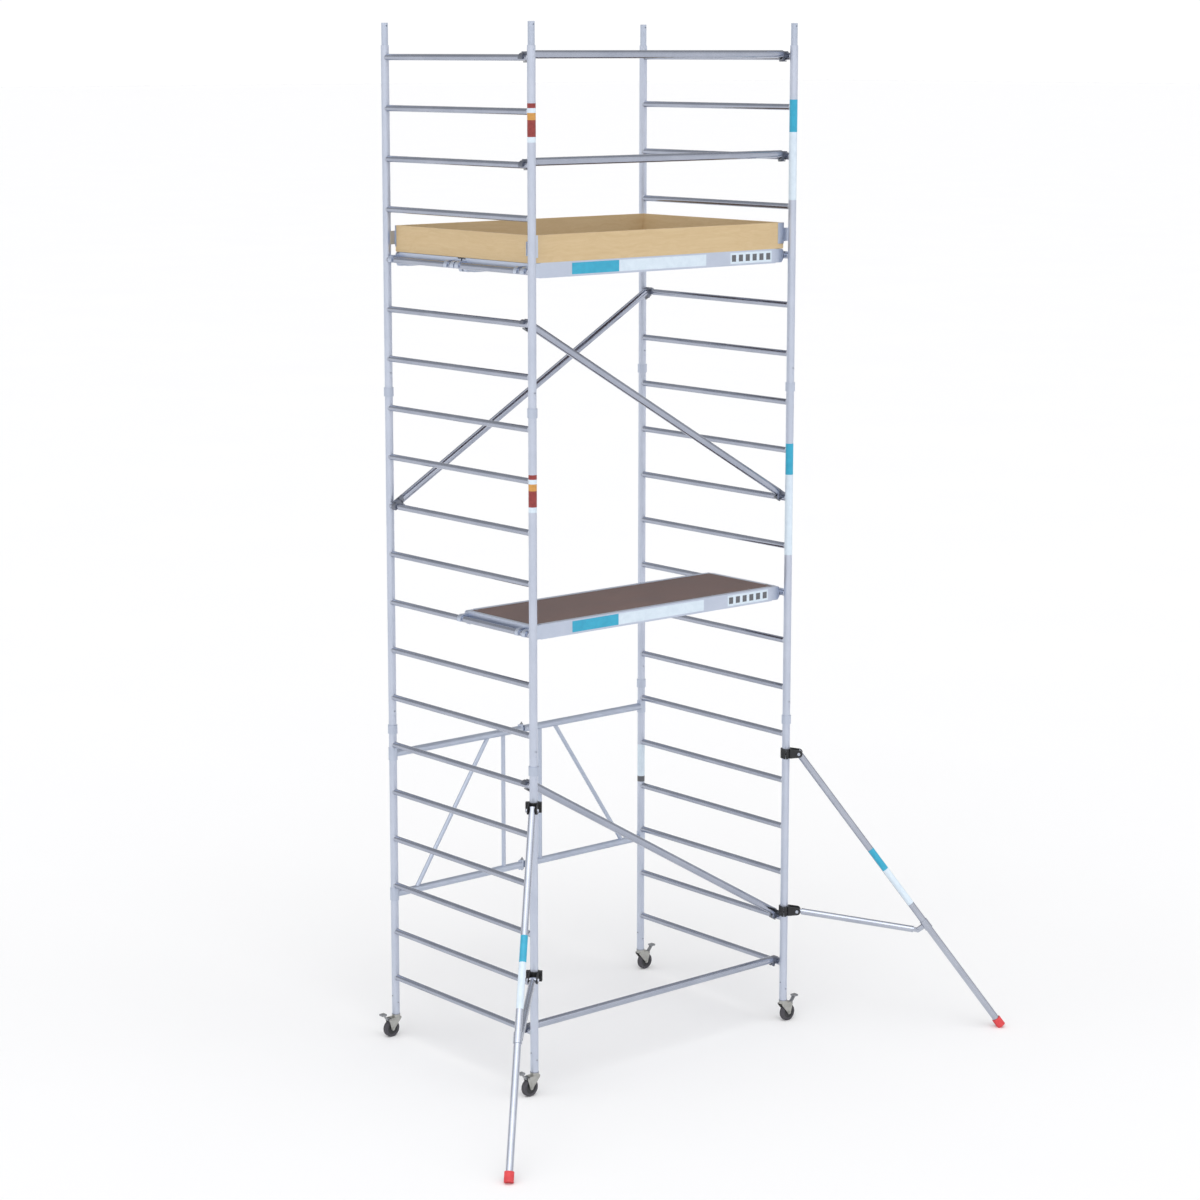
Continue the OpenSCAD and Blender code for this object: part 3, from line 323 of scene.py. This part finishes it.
def two_part_metal(name, mask, first, second):
    """Aluminium with one finish where the mask is 0 and another where it is 1. A finish is
    (light colour, dark colour, low roughness, high roughness)."""
    f = Finish(name)
    part = mask(f)
    patches = f.spread(f.noise(5, detail=6, roughness=0.6), 0, 1)
    streaks = f.noise(1, detail=4, place=f.scaled((160, 160, 160)))
    colours = [f.mix(patches, linear(s[1]), linear(s[0])) for s in (first, second)]
    roughs = [f.spread(streaks, s[2], s[3]) for s in (first, second)]
    f.link(f.mix(part, colours[0], colours[1]), f.shader.inputs["Base Color"])
    f.link(f.mix_value(part, roughs[0], roughs[1]), f.shader.inputs["Roughness"])
    f.bump(f.noise(700, detail=2), 0.00008)
    f.set(Metallic=1.0)
    return f.material


SATIN = ((202, 208, 222), (192, 199, 214), 0.42, 0.56)
BRIGHT = ((176, 181, 195), (162, 168, 183), 0.14, 0.24)
CAST = ((138, 142, 153), (108, 112, 123), 0.38, 0.55)


def between_uprights(f):
    """1 between the two uprights, where the rungs are, and 0 on the uprights."""
    off = f.math("ABSOLUTE", f.math("SUBTRACT", f.axis("Y"), MID_Y))
    return f.math("LESS_THAN", off, HALF_W - UPRIGHT_R)


def past_tube_end(reach):
    """A mask that is 1 on a brace's two claws, which start this far from the uprights' plane."""
    def mask(f):
        return f.math("GREATER_THAN", f.math("ABSOLUTE", f.axis("X")), HALF_BAY - reach)
    return mask


MESH_PITCH = 0.004


def deck_finish():
    """Brown film-faced plywood: a fine square mesh pressed into the film, dulled by foot traffic."""
    f = Finish("deck_film")
    wear = f.noise(3, detail=8, roughness=0.65)
    base = f.mix(f.spread(wear, 0, 1, 0.35, 0.75), linear((98, 78, 74)), linear((122, 100, 95)))
    pitch = 2 * math.pi / MESH_PITCH
    across = [f.math("SINE", f.math("MULTIPLY", f.axis(a), pitch)) for a in "XY"]
    mesh = f.math("MAXIMUM", across[0], across[1])
    f.link(f.mix(f.spread(mesh, 0, 0.25, 0.2, 1.0), base, linear((70, 54, 51))),
           f.shader.inputs["Base Color"])
    f.link(f.spread(wear, 0.55, 0.75), f.shader.inputs["Roughness"])
    f.bump(mesh, 0.0004, 0.4)
    f.set(Metallic=0.0)
    return f.material


def board_finish():
    """Pale plywood: long grain that runs along the boards and darker late-wood lines."""
    f = Finish("toe_board_ply")
    sway = f.noise(2.2, detail=3)
    place = f.scaled((1.3, 1.3, 42))
    shifted = f.node("VectorMath", operation="ADD")
    f.link(place, shifted.inputs[0])
    f.link(f.math("MULTIPLY", sway, 5.0), shifted.inputs[1])
    grain = f.noise(1.6, detail=7, place=shifted.outputs[0], roughness=0.62)
    fibre = f.noise(1.0, detail=4, place=f.scaled((30, 30, 900)))
    base = f.mix(f.spread(grain, 0, 1, 0.36, 0.68), linear((204, 180, 140)), linear((197, 171, 130)))
    f.link(f.mix(f.spread(fibre, 0, 0.22, 0.4, 0.8), base, linear((178, 151, 110))),
           f.shader.inputs["Base Color"])
    f.link(f.spread(fibre, 0.5, 0.68), f.shader.inputs["Roughness"])
    f.bump(fibre, 0.0003, 0.3)
    f.set(Metallic=0.0)
    return f.material


ladder_metal = two_part_metal("ladder_tube", between_uprights, SATIN, BRIGHT)
level_brace_metal = two_part_metal("level_brace", past_tube_end(0.040), BRIGHT, CAST)
diagonal_metal = two_part_metal("diagonal_brace", past_tube_end(0.0345), BRIGHT, CAST)
gate_metal = plain_finish("gate_tube", (196, 204, 219), (184, 192, 208), (0.40, 0.55), 1.0)
bright_metal = plain_finish("bright_tube", (186, 191, 203), (172, 177, 190), (0.14, 0.26), 1.0)
beam_metal = plain_finish("extruded_beam", (198, 206, 222), (188, 197, 214), (0.32, 0.46), 1.0)
cast_metal = plain_finish("cast_alloy", (160, 165, 177), (138, 143, 155), (0.40, 0.58), 1.0,
                          grain=900, depth=0.0004)
weld_metal = plain_finish("weld_bead", (205, 208, 216), (170, 174, 184), (0.28, 0.45), 1.0, patch=60)
zinc_metal = plain_finish("zinc_plate", (188, 188, 184), (162, 162, 158), (0.30, 0.48), 1.0, patch=40)
steel_metal = plain_finish("steel", (160, 162, 166), (136, 138, 143), (0.28, 0.45), 1.0, patch=50)
black_paint = plain_finish("black_coat", (34, 35, 38), (22, 23, 26), (0.42, 0.60), 0.0, patch=40, grain=1200)
tyre_rubber = plain_finish("tyre_rubber", (76, 74, 80), (58, 57, 63), (0.60, 0.80), 0.0,
                           patch=50, grain=900, depth=0.0004)
hub_plastic = plain_finish("hub_plastic", (38, 39, 42), (26, 27, 30), (0.35, 0.50), 0.0, patch=60, grain=1500)
red_rubber = plain_finish("red_rubber", (222, 74, 78), (196, 54, 60), (0.50, 0.70), 0.0,
                          patch=30, grain=1000, depth=0.0003)
deck_film = deck_finish()
board_ply = board_finish()
teal_label = plain_finish("teal_label", (48, 166, 198), (40, 152, 186), (0.30, 0.42), 0.0, patch=30)
white_label = plain_finish("white_label", (212, 225, 236), (200, 214, 227), (0.30, 0.42), 0.0, patch=30)
tan_label = plain_finish("tan_label", (206, 152, 78), (190, 136, 66), (0.35, 0.50), 0.0, patch=60)
red_label = plain_finish("red_label", (150, 58, 54), (122, 40, 40), (0.35, 0.50), 0.0, patch=80)
grey_label = plain_finish("grey_label", (104, 106, 112), (78, 80, 86), (0.35, 0.50), 0.0, patch=80)

NODE_FINISH = {
    "base_frame": ladder_metal, "middle_frame": ladder_metal, "top_frame": ladder_metal,
    "joint_spigots": gate_metal, "joint_collars": gate_metal, "folding_gate": gate_metal,
    "gate_hinge_pins": steel_metal, "guardrail": level_brace_metal, "base_horizontal": level_brace_metal,
    "front_diagonal": diagonal_metal, "rear_diagonal": diagonal_metal, "base_diagonal": diagonal_metal,
    "lower_platform_frame": beam_metal, "front_platform_frame": beam_metal,
    "rear_platform_frame": beam_metal, "lower_platform_deck": deck_film,
    "front_platform_deck": deck_film, "rear_platform_deck": deck_film, "access_hatch": deck_film,
    "toe_boards": board_ply, "toe_board_brackets": beam_metal,
    "castor_stems": cast_metal, "castor_fork": zinc_metal, "castor_wheel": tyre_rubber,
    "brake_pedal": steel_metal, "stabiliser_clamps": black_paint, "stabiliser_strut": bright_metal,
    "stabiliser_arm": bright_metal, "stabiliser_foot": red_rubber,
    "latch": steel_metal, "wind_lock": zinc_metal,
}

for node_name, node_obj in frame["nodes"].items():
    finish = next(m for start, m in NODE_FINISH.items() if node_name.startswith(start))
    node_obj.data.materials.clear()
    node_obj.data.materials.append(finish)


# ---- Welds ----

def frame_welds(side, first, count):
    """Every bead of one end frame: both ends of each rung."""
    return [weld_bead((side * HALF_BAY, MID_Y + e * HALF_W, rung_z(first + i)), RUNG_R, UPRIGHT_R, -e)
            for e in (-1, 1) for i in range(count)]


for side, side_name in SIDES:
    for level, first, count in FRAME_RUNGS:
        beads = frame_welds(side, first, count)
        add_piece(f"welds_{level}_{side_name}", beads, weld_metal, "scaffold")


# ---- Labels ----

LABELS_FACE = (-0.55, -0.83, 0)
TEAL_START, TEAL_END, WHITE_END = -0.645, -0.311, 0.330
BLOCK_START, BLOCK_END = 0.515, 0.834
BAND_LOW, BAND_HIGH = -0.028, 0.034
TILES = 6
TILE_LOW, TILE_HIGH = -0.016, 0.022
TILE_PROUD = 1.6 * LABEL_T
UPRIGHT_LABEL_SPREAD = 3.0
NOTICE_STEP = 1.965


def beam_patch(rung, x0, x1, low=BAND_LOW, high=BAND_HIGH, proud=LABEL_T):
    """A flat label on the front face of a platform's side beam."""
    face = MID_Y - BEAM_FACE
    return block((x0, face - proud, rung_z(rung) + low), (x1, face, rung_z(rung) + high))


teal, white, grey = [], [], []
for rung in (LOWER_DECK_RUNG, UPPER_DECK_RUNG):
    teal.append(beam_patch(rung, TEAL_START, TEAL_END))
    white.append(beam_patch(rung, TEAL_END, WHITE_END))
    white.append(beam_patch(rung, BLOCK_START, BLOCK_END))
    tile = (BLOCK_END - BLOCK_START) / TILES
    grey += [beam_patch(rung, BLOCK_START + (i + 0.2) * tile, BLOCK_START + (i + 0.8) * tile,
                        TILE_LOW, TILE_HIGH, TILE_PROUD) for i in range(TILES)]
add_piece("beam_label_teal", teal, teal_label, "scaffold")
add_piece("beam_label_white", white, white_label, "scaffold")
add_piece("beam_label_tiles", grey, grey_label, "scaffold")


def upright_label(name, place, bands):
    """Bands of colour round the front of an upright; bands lists (material, low, high)."""
    p = UPRIGHT[place]
    for k, (material, low, high) in enumerate(bands):
        band = wrap((p.x, p.y, 0), (0, 0, 1), LABELS_FACE, UPRIGHT_R, UPRIGHT_LABEL_SPREAD, low, high)
        add_piece(f"{name}_{k}", [band], material, "scaffold")


for name, shift in (("notice_top", 0.0), ("notice_middle", NOTICE_STEP)):
    upright_label(name, "front_left", (
        (red_label, 5.416 - shift, 5.441 - shift), (white_label, 5.391 - shift, 5.416 - shift),
        (tan_label, 5.354 - shift, 5.391 - shift), (red_label, 5.266 - shift, 5.354 - shift),
        (white_label, 5.237 - shift, 5.266 - shift)))
upright_label("band_top", "front_right", ((teal_label, 5.258, 5.440), (white_label, 4.875, 5.258)))
upright_label("band_middle", "front_right", ((teal_label, 3.298, 3.479), (white_label, 2.827, 3.298)))
upright_label("plate", "rear_right", ((white_label, 1.258, 1.460), (grey_label, 1.223, 1.258)))


# ---- Stabilisers ----

FOOT_ANGLE = math.radians(45)
CLAMP_PIVOT = 0.076
UPPER_CLAMP, LOWER_CLAMP = 1.644, 0.686
FOOT_REACH, FOOT_Z = 1.275, 0.036
EAR_OUT = 0.0085
STRUT_LABEL = (0.715, 0.864, 1.120)
STRUT_LABEL_SPREAD = 2.6


def bolt_cap(origin, direction, flat=0.0185, height=0.0066):
    """A hexagonal bolt head with a shallow chamfer and a domed middle."""
    r = flat / math.sqrt(3)
    return revolve(((r, 0), (r, 0.75 * height), (0.86 * r, height), (0.4 * r, 1.12 * height)),
                   origin, direction, sides=6)


for side, side_name in SIDES:
    body = "stabiliser_" + side_name
    out = np.array([side * math.sin(FOOT_ANGLE), -math.cos(FOOT_ANGLE), 0])
    across = np.cross([0, 0, 1], out)
    base = np.array(UPRIGHT["front_" + side_name])
    base[2] = 0
    caps = []
    for height, half in ((UPPER_CLAMP, STRUT_R), (LOWER_CLAMP, ARM_R)):
        pivot = base + CLAMP_PIVOT * out + [0, 0, height]
        caps += [bolt_cap(pivot + s * (half + EAR_OUT) * across, s * across) for s in (-1, 1)]
    add_piece("pivot_bolts_" + side_name, caps, bright_metal, body, smooth=25)
    top = base + CLAMP_PIVOT * out + [0, 0, UPPER_CLAMP]
    foot = base + FOOT_REACH * out + [0, 0, FOOT_Z]
    facing = np.array(LABELS_FACE) + [0, 0, 0.5]
    for colour, material, k in (("teal", teal_label, 0), ("white", white_label, 1)):
        add_piece(f"strut_label_{colour}_{side_name}",
                  [wrap(top, foot - top, facing, STRUT_R, STRUT_LABEL_SPREAD, *STRUT_LABEL[k:k + 2])],
                  material, body)


# ---- Castors ----

HUB_R = 0.0325
HUB_FACE = 0.0132
HUB_PROFILE = ((HUB_R, 0.0), (HUB_R, 0.0006), (0.028, 0.0011), (0.0265, 0.0003), (0.016, 0.0003),
               (0.0145, 0.0021), (0.0135, 0.0026))

for name in UPRIGHT:
    axle = JOINT_AT["roll_" + name]
    discs = [revolve(HUB_PROFILE, np.array(axle) + [0, e * HUB_FACE, 0], (0, e, 0)) for e in (-1, 1)]
    add_piece("hub_caps_" + name, discs, hub_plastic, "wheel_" + name)


# ---- Rivets in the decks ----

RIVET_ROW_Y = 0.255
RIVET_REACH = 0.87
RIVETS_IN_ROW = 13

def dome(origin, radius=0.0045, height=0.0012):
    """A low domed rivet head standing on a level face."""
    a = np.linspace(0, np.pi / 2 * 0.92, 4)
    profile = np.stack([radius * np.cos(a), height * np.sin(a)], -1)
    return revolve(profile, origin, (0, 0, 1), sides=12)


def deck_rivets(rung, offset):
    """Two rows of rivets along a deck."""
    z = rung_z(rung) + DECK_OVER_RUNG
    along = np.linspace(-RIVET_REACH, RIVET_REACH, RIVETS_IN_ROW)
    return [dome((x, MID_Y + offset + e * RIVET_ROW_Y, z)) for e in (-1, 1) for x in along]


add_piece("rivets_lower", deck_rivets(LOWER_DECK_RUNG, -PLATFORM_Y), steel_metal, "scaffold")
add_piece("rivets_front", deck_rivets(UPPER_DECK_RUNG, -PLATFORM_Y), steel_metal, "scaffold")
add_piece("rivets_rear", deck_rivets(UPPER_DECK_RUNG, PLATFORM_Y), steel_metal, "scaffold")


# ---- Studio ----

FLOOR_REACH = 400
FLOOR_T = 0.2
KEY_STRENGTH = 0.5
KEY_SPREAD, KEY_TILT, KEY_TURN = math.radians(50), math.radians(42), math.radians(-45)
TOWARDS_CAMERA = (-0.645, -0.764, 0)
SIDE_BLEND = (-0.15, 0.10)
SKY_FULL = 4.0
SKY_NEAR = ((0.0, 1.02), (0.10, 1.02), (0.35, 0.95), (0.55, 1.45), (0.92, 1.45), (1.0, 1.3))
SKY_FAR = ((0.0, 1.02), (0.06, 1.02), (0.20, 0.60), (0.60, 0.45), (0.90, 0.60), (1.0, 1.3))


def sky_ramp(tree, height, stops):
    """Brightness of the sky by the height of the direction, as a share of SKY_FULL."""
    ramp = tree.nodes.new("ShaderNodeValToRGB")
    tree.links.new(height, ramp.inputs["Fac"])
    for k, (at, level) in enumerate(stops):
        stop = ramp.color_ramp.elements[k] if k < 2 else ramp.color_ramp.elements.new(at)
        stop.position = at
        stop.color = (level / SKY_FULL,) * 3 + (1,)
    return ramp.outputs["Color"]


def floor_and_light():
    """A wide pale floor, a white sky at the horizon that is brighter high up on the camera's side
    and dimmer on the far side, and one soft lamp."""
    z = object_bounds()[0].z
    points, faces = block((-FLOOR_REACH, -FLOOR_REACH, z - FLOOR_T), (FLOOR_REACH, FLOOR_REACH, z))
    mesh = bpy.data.meshes.new("floor")
    mesh.from_pydata(points.tolist(), [], faces)
    floor = bpy.data.objects.new("floor", mesh)
    bpy.context.scene.collection.objects.link(floor)
    f = Finish("floor_paint")
    f.link(f.mix(f.noise(0.4, detail=2), linear((246, 246, 247)), linear((244, 244, 245))),
           f.shader.inputs["Base Color"])
    f.set(Roughness=0.9, Specular_IOR_Level=0.1)
    mesh.materials.append(f.material)

    world = bpy.data.worlds.new("studio")
    bpy.context.scene.world = world
    world.use_nodes = True
    tree = world.node_tree
    coords = tree.nodes.new("ShaderNodeTexCoord")
    split = tree.nodes.new("ShaderNodeSeparateXYZ")
    tree.links.new(coords.outputs["Generated"], split.inputs[0])
    near = tree.nodes.new("ShaderNodeVectorMath")
    near.operation = "DOT_PRODUCT"
    near.inputs[1].default_value = TOWARDS_CAMERA
    tree.links.new(coords.outputs["Generated"], near.inputs[0])
    side = tree.nodes.new("ShaderNodeMapRange")
    side.inputs["From Min"].default_value, side.inputs["From Max"].default_value = SIDE_BLEND
    tree.links.new(near.outputs["Value"], side.inputs["Value"])
    both = tree.nodes.new("ShaderNodeMix")
    both.data_type = "RGBA"
    tree.links.new(side.outputs["Result"], both.inputs["Factor"])
    tree.links.new(sky_ramp(tree, split.outputs["Z"], SKY_FAR), both.inputs[6])
    tree.links.new(sky_ramp(tree, split.outputs["Z"], SKY_NEAR), both.inputs[7])
    tree.links.new(both.outputs[2], tree.nodes["Background"].inputs["Color"])
    tree.nodes["Background"].inputs["Strength"].default_value = SKY_FULL

    sun = bpy.data.lights.new("key", "SUN")
    sun.energy = KEY_STRENGTH
    sun.angle = KEY_SPREAD
    lamp = bpy.data.objects.new("key", sun)
    lamp.rotation_euler = (KEY_TILT, 0, KEY_TURN)
    bpy.context.scene.collection.objects.link(lamp)


floor_and_light()
bpy.context.scene.view_settings.view_transform = "Standard"
